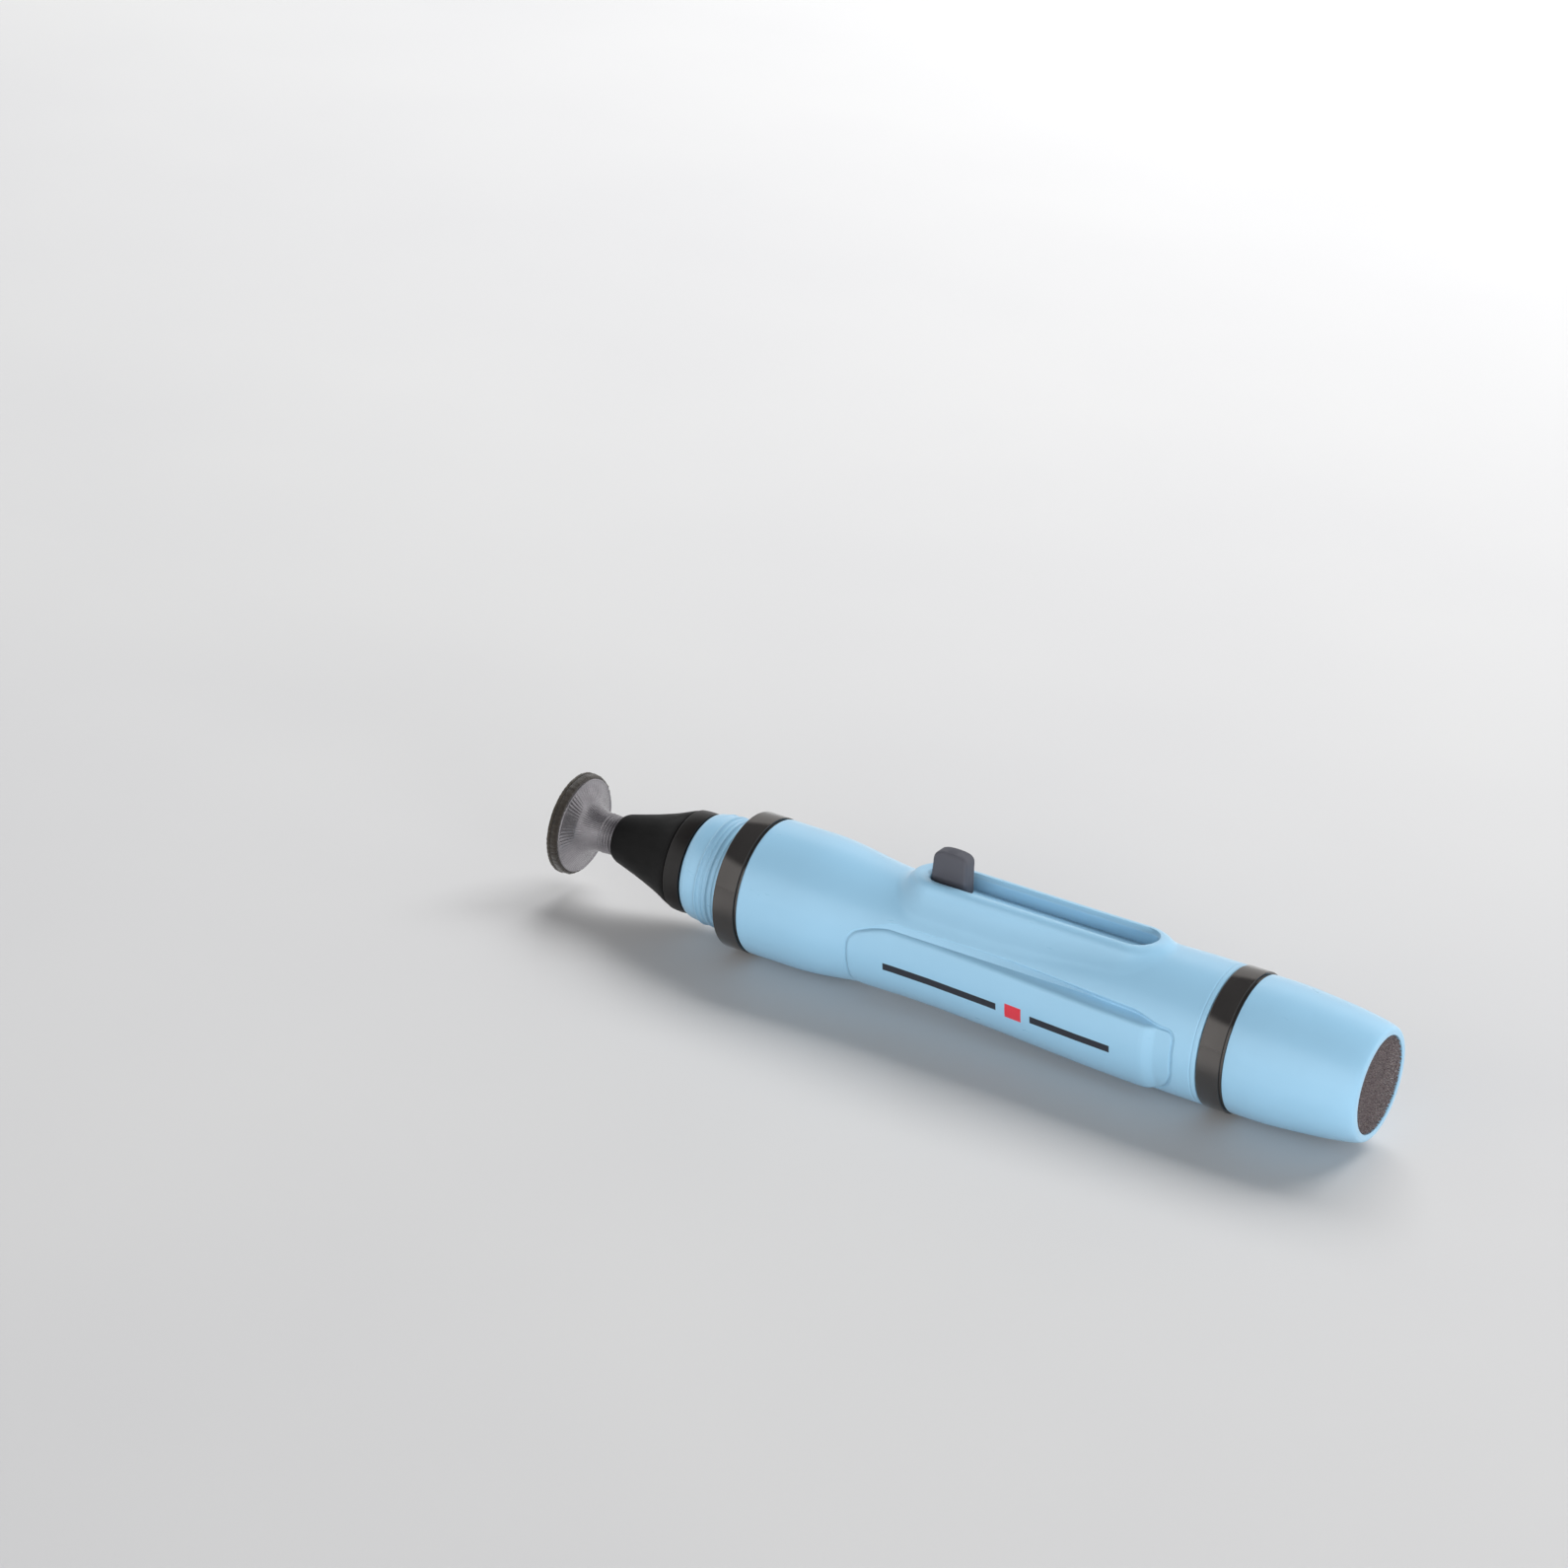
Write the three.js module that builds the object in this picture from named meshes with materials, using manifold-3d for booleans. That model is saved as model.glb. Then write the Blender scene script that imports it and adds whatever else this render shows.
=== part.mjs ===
// Lens cleaning pen: a waisted barrel with a retractable dust brush at the nose
// and a rubber cleaning tip with a round pad on a threaded neck at the other end.
// Millimetres. +X runs along the pen to the brush end, +Z is the slider button's side,
// and the origin is below the middle of the pen, on the surface that its rings rest on.
import * as THREE from 'three';
import { mergeVertices } from 'three/addons/utils/BufferGeometryUtils.js';
import Module from 'manifold-3d';

const wasm = await Module();
wasm.setup();

// Driving dimensions
const HALF_LENGTH = 54.4;
const RING_RADIUS = 8.5;
const RING_LENGTH = 3.1;
const RING_BORE = 7.15;
const SPIGOT_RADIUS = 6.85;
const FACE_GAP = 0.1;
const GLUE_GAP = 0.05;

const AXIS_HEIGHT = RING_RADIUS;
const TIP_RING_X = -29.15;
const NOSE_RING_X = 35.35;
const BARREL_START = TIP_RING_X + RING_LENGTH + FACE_GAP;
const BARREL_END = NOSE_RING_X - FACE_GAP;

const SHOULDER_RADIUS = 8.42;
const WAIST_RADIUS = 7.26;
const WAIST_BORE = 5.4;
const TIP_SHOULDER = { from: -20, to: -7 };
const NOSE_SHOULDER = { from: 3, to: 33 };
const TIP_COUNTERBORE_END = -20;
const NOSE_COUNTERBORE_START = 26.8;
const BUSH_LENGTH = 2.8;
const INNER_RADIUS = WAIST_BORE + 0.6;

const TRACK = { start: -6.7, end: 26.2, halfWidth: 3.75, top: 8.75, edge: 0.6 };
const CHANNEL = { start: -4.5, end: 25.3, halfWidth: 2.2, floor: 6.55 };
const SLOT = { start: -4.1, end: 24, halfWidth: 1.2 };

const PANEL = { start: -11.1, end: 31.9, halfWidth: 5.1, angle: 111 };
const PANEL_CORNER = { upper: 0.8, lower: 6 };
const PANEL_TIP = { length: 5, drop: 1.25, corner: 1.2 };
const PANEL_HEIGHT = [
  [-11.1, 7.72], [-5, 7.5], [0, 7.54], [8, 7.86], [20, 8.49], [28.4, 8.72], [30.2, 8.6],
];

const NECK = { start: -35.35, root: 6.7, bore: 4.7 };
const THREAD = { start: -33.8, end: -30.3, turns: 2.4, ridge: 0.45 };
const CONE = { start: -47.4, base: -37.7, baseRadius: 6.13, frontRadius: 2.95 };
const SEAL = { start: -37.6, end: -35.45, radius: 6.3, bore: 4.7 };

const STEM_RADIUS = 2.4;
const STEM_CORE_RADIUS = 1;
const CUP_RIM = { x: -53.2, radius: 6 };
const PAD = { radius: 6.43, thickness: 0.5, backing: 0.4 };

const BUTTON = { x: -1.85, halfLength: 2.45, halfWidth: 1.15, base: 7.4, top: 12 };
const BUTTON_FOOT = { halfLength: 2.5, halfWidth: 1.85, bottom: 6.85, corner: 1.6 };

const CARRIAGE = { start: -8, end: 3, radius: 5.1, top: 4.6, bottom: -4.3 };
const BRUSH_TUBE = { radius: 3, bore: 2.2, fit: 0.15 };
const FERRULE = { start: 19.5, end: 31.9, radius: 4.9, bore: 4.5 };
const SPRING_LEAF = 0.3;

// Facets round a turned piece
const BIG = 48;
const MEDIUM = 32;
const SMALL = 24;

// Colours
const SKY_BLUE = 0x87b4d0;
const BLACK_NICKEL = 0x45413e;
const BLACK_PLASTIC = 0x1c1c1c;
const DARK_RUBBER = 0x2c2a29;
const GREY_RUBBER = 0x4a4644;
const PAD_BROWN = 0x38322c;
const BUTTON_GREY = 0x545252;
const INNER_WHITE = 0xd8d6d0;
const STEEL = 0xb5b8bb;
const BRISTLE_BROWN = 0x5a5055;

// Drops the triangles that a lathe leaves flat at its poles, and joins shared corners.
function closedGeometry(geometry) {
  const plain = geometry.index ? geometry.clone() : geometry;
  plain.deleteAttribute('normal');
  plain.deleteAttribute('uv');
  const merged = mergeVertices(plain, 1e-4);
  const corners = merged.index.array;
  const kept = [];
  for (let i = 0; i < corners.length; i += 3) {
    const [a, b, c] = [corners[i], corners[i + 1], corners[i + 2]];
    if (a !== b && b !== c && c !== a) kept.push(a, b, c);
  }
  merged.setIndex(kept);
  return faceOutward(merged);
}

// Turns every triangle over when the signed volume is negative.
function faceOutward(geometry) {
  const corners = geometry.index.array;
  const position = geometry.attributes.position;
  const [a, b, c] = [new THREE.Vector3(), new THREE.Vector3(), new THREE.Vector3()];
  let volume = 0;
  for (let i = 0; i < corners.length; i += 3) {
    a.fromBufferAttribute(position, corners[i]);
    b.fromBufferAttribute(position, corners[i + 1]);
    c.fromBufferAttribute(position, corners[i + 2]);
    volume += a.dot(b.cross(c));
  }
  if (volume < 0) {
    for (let i = 0; i < corners.length; i += 3) {
      [corners[i + 1], corners[i + 2]] = [corners[i + 2], corners[i + 1]];
    }
  }
  return geometry;
}

function toSolid(geometry) {
  const closed = closedGeometry(geometry);
  return new wasm.Manifold(new wasm.Mesh({
    numProp: 3,
    vertProperties: new Float32Array(closed.attributes.position.array),
    triVerts: new Uint32Array(closed.index.array),
  }));
}

function fromSolid(solid) {
  const mesh = solid.getMesh();
  const geometry = new THREE.BufferGeometry();
  geometry.setAttribute('position', new THREE.BufferAttribute(mesh.vertProperties, 3));
  geometry.setIndex(new THREE.BufferAttribute(mesh.triVerts, 1));
  return geometry;
}

// Spins a profile of [x, radius] points about the pen's axis, with a flat facet on each of
// the four sides, so that the facets' distance from the axis is the stated radius.
function revolve(profile, segments) {
  const spread = 1 / Math.cos(Math.PI / segments);
  const points = profile.map(([x, radius]) => new THREE.Vector2(radius * spread, x));
  const lathe = new THREE.LatheGeometry(points, segments, Math.PI / segments);
  return closedGeometry(lathe.rotateZ(-Math.PI / 2));
}

function closeProfile(points) {
  return [...points, points[0]];
}

function tube(start, end, inner, outer, segments) {
  return revolve(closeProfile([[start, inner], [start, outer], [end, outer], [end, inner]]), segments);
}

function rod(start, end, radius, segments) {
  return revolve([[start, 0], [start, radius], [end, radius], [end, 0]], segments);
}

// A stadium or rounded rectangle in the XY plane, from x = start to x = end.
function roundedOutline(start, end, halfWidth, corner) {
  const quarter = Math.PI / 2;
  const shape = new THREE.Shape();
  shape.absarc(end - corner, corner - halfWidth, corner, -quarter, 0);
  shape.absarc(end - corner, halfWidth - corner, corner, 0, quarter);
  shape.absarc(start + corner, halfWidth - corner, corner, quarter, 2 * quarter);
  shape.absarc(start + corner, corner - halfWidth, corner, 2 * quarter, 3 * quarter);
  return shape;
}

// The panel's outline, with its -X end drawn in. Its lower edge is on the side of +y times side.
function panelOutline(side) {
  const { start, end, halfWidth } = PANEL;
  const { upper, lower } = PANEL_CORNER;
  const { length, drop, corner } = PANEL_TIP;
  const low = side * halfWidth;
  const drawn = side * (halfWidth - drop);
  const tip = drawn - side * corner;
  const shape = new THREE.Shape();
  shape.moveTo(start, tip);
  shape.quadraticCurveTo(start, drawn, start + corner, drawn + 0.2 * side);
  shape.lineTo(start + length, low);
  shape.lineTo(end - lower, low);
  shape.quadraticCurveTo(end, low, end, low - side * lower);
  shape.lineTo(end, side * upper - low);
  shape.quadraticCurveTo(end, -low, end - upper, -low);
  shape.lineTo(start + length, -low);
  shape.lineTo(start + corner, -drawn - 0.2 * side);
  shape.quadraticCurveTo(start, -drawn, start, -tip);
  return shape;
}

function prism(shape, bottom, top, curveSegments = 8) {
  const depth = top - bottom;
  return new THREE.ExtrudeGeometry(shape, { depth, curveSegments, bevelEnabled: false })
    .translate(0, 0, bottom);
}

// Runs from 0 to 1 between two places, level at both ends.
function ease(x, from, to) {
  const t = Math.min(1, Math.max(0, (x - from) / (to - from)));
  return (1 - Math.cos(Math.PI * t)) / 2;
}

function barrelRadius(x) {
  const drop = 1 - ease(x, TIP_SHOULDER.from, TIP_SHOULDER.to);
  const rise = ease(x, NOSE_SHOULDER.from, NOSE_SHOULDER.to);
  return WAIST_RADIUS + (SHOULDER_RADIUS - WAIST_RADIUS) * (drop + rise);
}

function evenSteps(from, to, count) {
  return Array.from({ length: count + 1 }, (_, i) => from + ((to - from) * i) / count);
}

function barrelBody() {
  const tipCurve = evenSteps(TIP_SHOULDER.from, TIP_SHOULDER.to, 6);
  const noseCurve = evenSteps(NOSE_SHOULDER.from, NOSE_SHOULDER.to, 8);
  const stations = [BARREL_START, ...tipCurve, ...noseCurve, BARREL_END];
  const outside = stations.map((x) => [x, barrelRadius(x)]);
  return revolve([[BARREL_START, 0], ...outside, [BARREL_END, 0]], BIG);
}

// The hollow through the barrel, wider at both ends for the spigots.
function barrelBore() {
  const past = 1;
  return revolve([
    [BARREL_START - past, 0],
    [BARREL_START - past, RING_BORE],
    [TIP_COUNTERBORE_END, RING_BORE],
    [TIP_COUNTERBORE_END, WAIST_BORE],
    [NOSE_COUNTERBORE_START, WAIST_BORE],
    [NOSE_COUNTERBORE_START, RING_BORE],
    [BARREL_END + past, RING_BORE],
    [BARREL_END + past, 0],
  ], BIG);
}

// The raised track that the button slides in, before its channel is cut.
function trackBlock() {
  const { start, end, halfWidth, top, edge } = TRACK;
  const outline = roundedOutline(start + edge, end - edge, halfWidth - edge, halfWidth - edge);
  return new THREE.ExtrudeGeometry(outline, {
    depth: top - edge - INNER_RADIUS,
    curveSegments: 8,
    bevelEnabled: true,
    bevelThickness: edge,
    bevelSize: edge,
    bevelSegments: 2,
  }).translate(0, 0, INNER_RADIUS);
}

// A label panel: the part of a slowly widening round body that lies inside a rounded rectangle.
function panelBlock(side) {
  const { start, end, angle } = PANEL;
  const body = toSolid(revolve(closeProfile([
    [start - 1, INNER_RADIUS],
    [start - 1, PANEL_HEIGHT[0][1]],
    ...PANEL_HEIGHT,
    [end, SHOULDER_RADIUS - 0.02],
    [end + 1, INNER_RADIUS],
  ]), BIG));
  const window = prism(panelOutline(side), INNER_RADIUS - 1.2, TRACK.top + 1, 6);
  window.rotateX(-side * THREE.MathUtils.degToRad(angle));
  return body.intersect(toSolid(window));
}

function barrel() {
  const channel = roundedOutline(CHANNEL.start, CHANNEL.end, CHANNEL.halfWidth, CHANNEL.halfWidth);
  const slot = roundedOutline(SLOT.start, SLOT.end, SLOT.halfWidth, SLOT.halfWidth);
  return fromSolid(toSolid(barrelBody())
    .add(toSolid(trackBlock()))
    .add(panelBlock(-1))
    .add(panelBlock(1))
    .subtract(toSolid(barrelBore()))
    .subtract(toSolid(prism(channel, CHANNEL.floor, TRACK.top + 1)))
    .subtract(toSolid(prism(slot, 1, CHANNEL.floor + 1))));
}

function trimRing(start) {
  const edge = 0.2;
  const end = start + RING_LENGTH;
  return revolve(closeProfile([
    [start, RING_BORE],
    [start, RING_RADIUS - edge],
    [start + edge, RING_RADIUS],
    [end - edge, RING_RADIUS],
    [end, RING_RADIUS - edge],
    [end, RING_BORE],
  ]), BIG);
}

class ThreadPath extends THREE.Curve {
  getPoint(t, target = new THREE.Vector3()) {
    const turn = t * THREAD.turns * 2 * Math.PI;
    const x = THREE.MathUtils.lerp(THREAD.start, THREAD.end, t);
    return target.set(x, NECK.root * Math.sin(turn), NECK.root * Math.cos(turn));
  }
}

function threadRidge() {
  const section = new THREE.Shape().absarc(0, 0, THREAD.ridge, 0, 2 * Math.PI);
  return new THREE.ExtrudeGeometry(section, {
    steps: Math.round(THREAD.turns * 24),
    curveSegments: 3,
    extrudePath: new ThreadPath(),
  });
}

// The threaded neck that the cap screws on, with the spigot that carries the ring and barrel.
function neckSleeve() {
  const chamfer = 0.35;
  const spigotEnd = TIP_COUNTERBORE_END - FACE_GAP;
  const body = revolve(closeProfile([
    [NECK.start, NECK.bore],
    [NECK.start, NECK.root - 0.6],
    [NECK.start + chamfer, NECK.root - 0.2],
    [NECK.start + 4 * chamfer, NECK.root],
    [TIP_RING_X - 1, NECK.root],
    [TIP_RING_X - 0.6, SPIGOT_RADIUS],
    [spigotEnd, SPIGOT_RADIUS],
    [spigotEnd, NECK.bore],
  ]), BIG);
  return fromSolid(toSolid(body).add(toSolid(threadRidge())));
}

function noseCone() {
  const base = NOSE_RING_X + RING_LENGTH + FACE_GAP;
  const spigotStart = NOSE_COUNTERBORE_START + BUSH_LENGTH + 3 * FACE_GAP;
  const bore = 5.88;
  return revolve(closeProfile([
    [spigotStart, bore],
    [spigotStart, SPIGOT_RADIUS],
    [base, SPIGOT_RADIUS],
    [base, 8.28],
    [base + 0.12, 8.36],
    [42.5, 8.32],
    [46.4, 8],
    [49.2, 7.76],
    [51.2, 7.48],
    [52.8, 7.22],
    [53.7, 7],
    [54.2, 6.8],
    [HALF_LENGTH, 6.5],
    [HALF_LENGTH, bore],
  ]), BIG);
}

function guideBush() {
  const start = NOSE_COUNTERBORE_START + FACE_GAP;
  return tube(start, start + BUSH_LENGTH, 5.2, 7, MEDIUM);
}

function endStopPlug() {
  return tube(-19.6, -17.4, 1.2, 5.25, MEDIUM);
}

function tipCone() {
  const { start, base, baseRadius, frontRadius } = CONE;
  const spigot = 4.5;
  const spigotEnd = NECK.start + 5;
  const bore = 2.3;
  return revolve(closeProfile([
    [start, bore],
    [start, frontRadius - 0.35],
    [start + 0.3, frontRadius],
    [-43.2, 4.14],
    [-40.2, 5.14],
    [base - 0.4, baseRadius - 0.12],
    [base, baseRadius],
    [base, spigot],
    [spigotEnd, spigot],
    [spigotEnd, bore],
  ]), BIG);
}

function capSealRing() {
  const { start, end, radius, bore } = SEAL;
  return revolve(closeProfile([
    [start, bore],
    [start, radius - 0.12],
    [start + 0.15, radius],
    [end - 0.15, radius + 0.06],
    [end, radius - 0.06],
    [end, bore],
  ]), BIG);
}

// The rubber stem is one moulding. It is in three solids, so that its neck can bend.
function stemRoot() {
  const plug = 2.1;
  return revolve([
    [-41.5, 0],
    [-41.5, plug],
    [CONE.start - 0.15, plug],
    [CONE.start - 0.45, STEM_RADIUS],
    [-48.25, STEM_CORE_RADIUS],
    [-48.25, 0],
  ], SMALL);
}

function stemCore() {
  return revolve([
    [-48.6, 0],
    [-48.6, STEM_CORE_RADIUS - 0.25],
    [-48.75, STEM_CORE_RADIUS],
    [-49.15, STEM_CORE_RADIUS],
    [-49.3, STEM_CORE_RADIUS - 0.25],
    [-49.3, 0],
  ], SMALL);
}

function tipCup() {
  return revolve([
    [-49.65, 0],
    [-49.65, STEM_CORE_RADIUS],
    [-49.9, STEM_RADIUS],
    [-50.6, 2.55],
    [-51.3, 2.9],
    [-51.95, 3.5],
    [-52.4, 4.2],
    [-52.75, 5],
    [-52.9, 5.55],
    [CUP_RIM.x, CUP_RIM.radius],
    [CUP_RIM.x - 0.2, CUP_RIM.radius - 0.12],
    [CUP_RIM.x - 0.2, 0],
  ], BIG);
}

function padBacking() {
  const start = PAD.thickness - HALF_LENGTH + GLUE_GAP;
  return rod(start, start + PAD.backing, PAD.radius - 0.13, BIG);
}

function cleaningPad() {
  const edge = 0.15;
  const back = PAD.thickness - HALF_LENGTH;
  return revolve([
    [back, 0],
    [back, PAD.radius],
    [edge - HALF_LENGTH, PAD.radius],
    [-HALF_LENGTH, PAD.radius - edge],
    [-HALF_LENGTH, 0],
  ], BIG);
}

// The thumb button: a crowned tab on a foot that fills the channel, with a stalk in the slot.
function sliderButton() {
  const { x, halfLength, halfWidth, base, top } = BUTTON;
  const lean = 0.2;
  const corner = 0.9;
  const tabEnd = halfLength - lean;
  const crown = new THREE.Shape();
  crown.moveTo(-halfLength, base - 0.3);
  crown.lineTo(halfLength, base - 0.3);
  crown.lineTo(tabEnd, top - 1.5);
  crown.quadraticCurveTo(tabEnd, top - 0.6, tabEnd - corner, top - 0.3);
  crown.quadraticCurveTo(0, top + 0.3, corner - tabEnd, top - 0.3);
  crown.quadraticCurveTo(-tabEnd, top - 0.6, -tabEnd, top - 1.5);
  const side = toSolid(prism(crown, -halfWidth, halfWidth, 6).rotateX(Math.PI / 2));
  const plan = roundedOutline(-halfLength, halfLength, halfWidth, 0.5);
  const tab = side.intersect(toSolid(prism(plan, base - 1, top + 1, 4)));
  const foot = BUTTON_FOOT;
  const footPlan = roundedOutline(-foot.halfLength, foot.halfLength, foot.halfWidth, foot.corner);
  const stalk = new THREE.BoxGeometry(3.6, 1.8, 2.2).translate(0, 0, foot.bottom - 0.9);
  return fromSolid(tab
    .add(toSolid(prism(footPlan, foot.bottom, base, 4)))
    .add(toSolid(stalk))).translate(x, 0, 0);
}

function sliderCarriage() {
  const { start, end, radius, top, bottom } = CARRIAGE;
  const body = toSolid(rod(start, end, radius, MEDIUM));
  const socket = toSolid(rod(end - 5, end + 1, BRUSH_TUBE.radius + BRUSH_TUBE.fit, SMALL));
  const height = top - bottom;
  const slab = new THREE.BoxGeometry(end - start + 2, 2 * radius + 2, height)
    .translate((start + end) / 2, 0, bottom + height / 2);
  return fromSolid(body.intersect(toSolid(slab)).subtract(socket));
}

// A bowed leaf under the carriage that clicks at both ends of the travel.
function detentSpring() {
  const { start, end, bottom } = CARRIAGE;
  const [left, middle, right] = [start + 1, (start + end) / 2, end - 1];
  const edge = bottom - 0.1;
  const belly = bottom - 0.9;
  const bow = new THREE.Shape();
  bow.moveTo(left, edge);
  bow.quadraticCurveTo(middle, belly, right, edge);
  bow.lineTo(right, edge - SPRING_LEAF);
  bow.quadraticCurveTo(middle, belly - SPRING_LEAF, left, edge - SPRING_LEAF);
  return prism(bow, -1.2, 1.2, 8).rotateX(Math.PI / 2);
}

function brushTube() {
  return tube(CARRIAGE.end - 4.8, FERRULE.start + 3, BRUSH_TUBE.bore, BRUSH_TUBE.radius, SMALL);
}

function brushFerrule() {
  const { start, end, radius, bore } = FERRULE;
  const collar = BRUSH_TUBE.radius + BRUSH_TUBE.fit;
  return revolve(closeProfile([
    [start, collar],
    [start, radius - 0.6],
    [start + 0.6, radius],
    [end, radius],
    [end, bore],
    [start + 2, bore],
    [start + 2, collar],
  ]), MEDIUM);
}

function bristleRootPlug() {
  return rod(FERRULE.start + 3.2, FERRULE.start + 6.5, FERRULE.bore - 0.1, SMALL);
}

function bristleTuft() {
  const root = FERRULE.start + 6.6;
  const hair = FERRULE.bore - 0.1;
  return revolve([
    [root, 0],
    [root, hair],
    [FERRULE.end + 0.3, hair],
    [FERRULE.end + 6, hair + 0.7],
    [HALF_LENGTH - 5, 5.6],
    [HALF_LENGTH - 0.1, 5.7],
    [HALF_LENGTH - 0.1, 0],
  ], MEDIUM);
}

function piece(name, geometry, color, roughness, metalness = 0) {
  const material = new THREE.MeshStandardMaterial({ color, roughness, metalness });
  const mesh = new THREE.Mesh(geometry, material);
  mesh.name = name;
  return mesh;
}

function assembly(...pieces) {
  return new THREE.Group().add(...pieces);
}

const housing = assembly(
  piece('barrel', barrel(), SKY_BLUE, 0.3),
  piece('neck_sleeve', neckSleeve(), SKY_BLUE, 0.3),
  piece('tip_ring', trimRing(TIP_RING_X), BLACK_NICKEL, 0.15, 0.9),
  piece('nose_ring', trimRing(NOSE_RING_X), BLACK_NICKEL, 0.15, 0.9),
  piece('nose_cone', noseCone(), SKY_BLUE, 0.3),
  piece('brush_guide_bush', guideBush(), INNER_WHITE, 0.5),
  piece('end_stop_plug', endStopPlug(), INNER_WHITE, 0.5),
);

const cleaningTip = assembly(
  piece('tip_cone', tipCone(), BLACK_PLASTIC, 0.45),
  piece('cap_seal_ring', capSealRing(), DARK_RUBBER, 0.6),
  piece('stem_root', stemRoot(), GREY_RUBBER, 0.6),
  piece('stem_core', stemCore(), GREY_RUBBER, 0.6),
  piece('tip_cup', tipCup(), GREY_RUBBER, 0.6),
  piece('pad_backing', padBacking(), PAD_BROWN, 0.95),
  piece('cleaning_pad', cleaningPad(), PAD_BROWN, 0.95),
);

const brush = assembly(
  piece('slider_button', sliderButton(), BUTTON_GREY, 0.5),
  piece('slider_carriage', sliderCarriage(), INNER_WHITE, 0.5),
  piece('detent_spring', detentSpring(), STEEL, 0.3, 1),
  piece('brush_tube', brushTube(), BLACK_PLASTIC, 0.5),
  piece('brush_ferrule', brushFerrule(), STEEL, 0.3, 1),
  piece('bristle_root_plug', bristleRootPlug(), INNER_WHITE, 0.6),
  piece('bristle_tuft', bristleTuft(), BRISTLE_BROWN, 0.9),
);

const pen = assembly(housing, cleaningTip, brush);
pen.name = 'lens_cleaning_pen';
pen.position.z = AXIS_HEIGHT;

export default pen;
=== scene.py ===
"""The looks of the lens cleaning pen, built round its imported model."""

import math
import random

import bmesh
import bpy
import numpy as np
from mathutils import Matrix, Vector

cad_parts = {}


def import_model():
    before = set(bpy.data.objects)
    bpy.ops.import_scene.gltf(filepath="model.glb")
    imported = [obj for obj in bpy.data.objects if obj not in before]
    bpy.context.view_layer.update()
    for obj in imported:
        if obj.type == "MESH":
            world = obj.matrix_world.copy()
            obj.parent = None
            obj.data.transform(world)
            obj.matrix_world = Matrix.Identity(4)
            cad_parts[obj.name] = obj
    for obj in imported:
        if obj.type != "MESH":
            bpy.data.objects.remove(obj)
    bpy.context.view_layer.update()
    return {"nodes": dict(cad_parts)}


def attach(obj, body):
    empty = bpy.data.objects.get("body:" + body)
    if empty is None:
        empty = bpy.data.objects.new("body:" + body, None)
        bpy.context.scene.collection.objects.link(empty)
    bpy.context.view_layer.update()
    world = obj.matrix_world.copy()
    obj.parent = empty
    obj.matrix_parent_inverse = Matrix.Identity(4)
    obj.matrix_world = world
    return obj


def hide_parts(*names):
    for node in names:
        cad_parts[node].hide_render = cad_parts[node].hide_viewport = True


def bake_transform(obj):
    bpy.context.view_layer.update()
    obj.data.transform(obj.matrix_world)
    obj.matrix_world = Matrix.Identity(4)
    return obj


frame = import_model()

MM = 0.001

# ---------------------------------------------------------------- the pen's sizes, in mm
# x runs along the pen to its brush end. y and z are measured from the pen's axis.
AXIS_Z = 8.5
BARREL = (-25.95, 35.25)
WAIST, SHOULDER = 7.26, 8.42
BORE = 7.2

# The track, channel and slot are stadiums seen from above, and "half" is half their width.
TRACK = {"start": -6.7, "end": 26.2, "half": 3.75, "top": 8.75, "rim": 0.9, "fillet": 1.7}
TRACK_FLANK = {"lean": 0.22, "set_in": 0.05, "slant": 1.024}
TRACK_FADE = (1.5, 2.25)
CHANNEL = {"start": -4.5, "end": 25.3, "half": 2.2, "floor": 6.55}
CHANNEL_LIP = ((0.5, 0.0), (0.44, 0.01), (0.4, 0.04), (0.24, 0.18), (0.09, 0.31), (0.04, 0.37), (0.0, 0.45))
SLOT = {"start": -4.1, "end": 24.0, "half": 1.2}

# A panel lies this many degrees round from the top, on each side.
PANEL = {"start": -11.1, "end": 31.9, "half": 5.1, "angle": 111.0, "rim": 0.3, "foot": 0.06}
PANEL_TIP = {"length": 5.0, "drop": 1.25, "power": 1.5, "corner": 1.3}
PANEL_CORNER = {"upper": 0.8, "lower": 6.0}
PANEL_HEIGHT = [(-11.1, 7.7), (-8, 7.56), (-5, 7.5), (0, 7.56), (8, 7.88), (14, 8.2), (20, 8.5), (25, 8.67),
                (28, 8.74), (28.5, 8.71), (28.9, 8.63), (31.9, 7.82)]
OFF_PANEL = 5.0

# The print on a panel: two dark rules and a red block, each from one x to another.
RULES, RULE_WIDTH = ((-6.2, 9.2), (13.8, 24.4)), 0.95
BLOCK, BLOCK_WIDTH = (10.4, 12.6), 1.9
PRINT_ABOVE_MIDDLE, PRINT_EDGE = 1.15, 0.03

NECK_PROFILE = [(-35.35, 5.95), (-35.25, 6.2), (-35.0, 6.45), (-34.6, 6.6), (-33.9, 6.68), (-30.2, 6.7),
                (-29.8, 6.8), (-29.4, 6.85), (-20.1, 6.85)]
NECK_BORE = 4.7
THREAD = {"start": -33.8, "end": -30.3, "turns": 2.4, "height": 0.24, "fade": 0.12}
RING = {"length": 3.1, "radius": 8.5, "step": 8.12, "step_length": 0.26}
TIP_RING_START, NOSE_RING_START = -29.15, 35.35
RIB_PITCH = 0.42


# ---------------------------------------------------------------- meshes
def new_piece(name, points, faces, material):
    """A mesh object from points in mm, measured from the pen's axis."""
    mesh = bpy.data.meshes.new(name)
    co = np.asarray(points, float) + [0, 0, AXIS_Z]
    mesh.from_pydata((co * MM).tolist(), [], faces)
    mesh.polygons.foreach_set("use_smooth", [True] * len(mesh.polygons))
    mesh.materials.append(material)
    mesh.update()
    piece = bpy.data.objects.new(name, mesh)
    bpy.context.scene.collection.objects.link(piece)
    return piece


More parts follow.
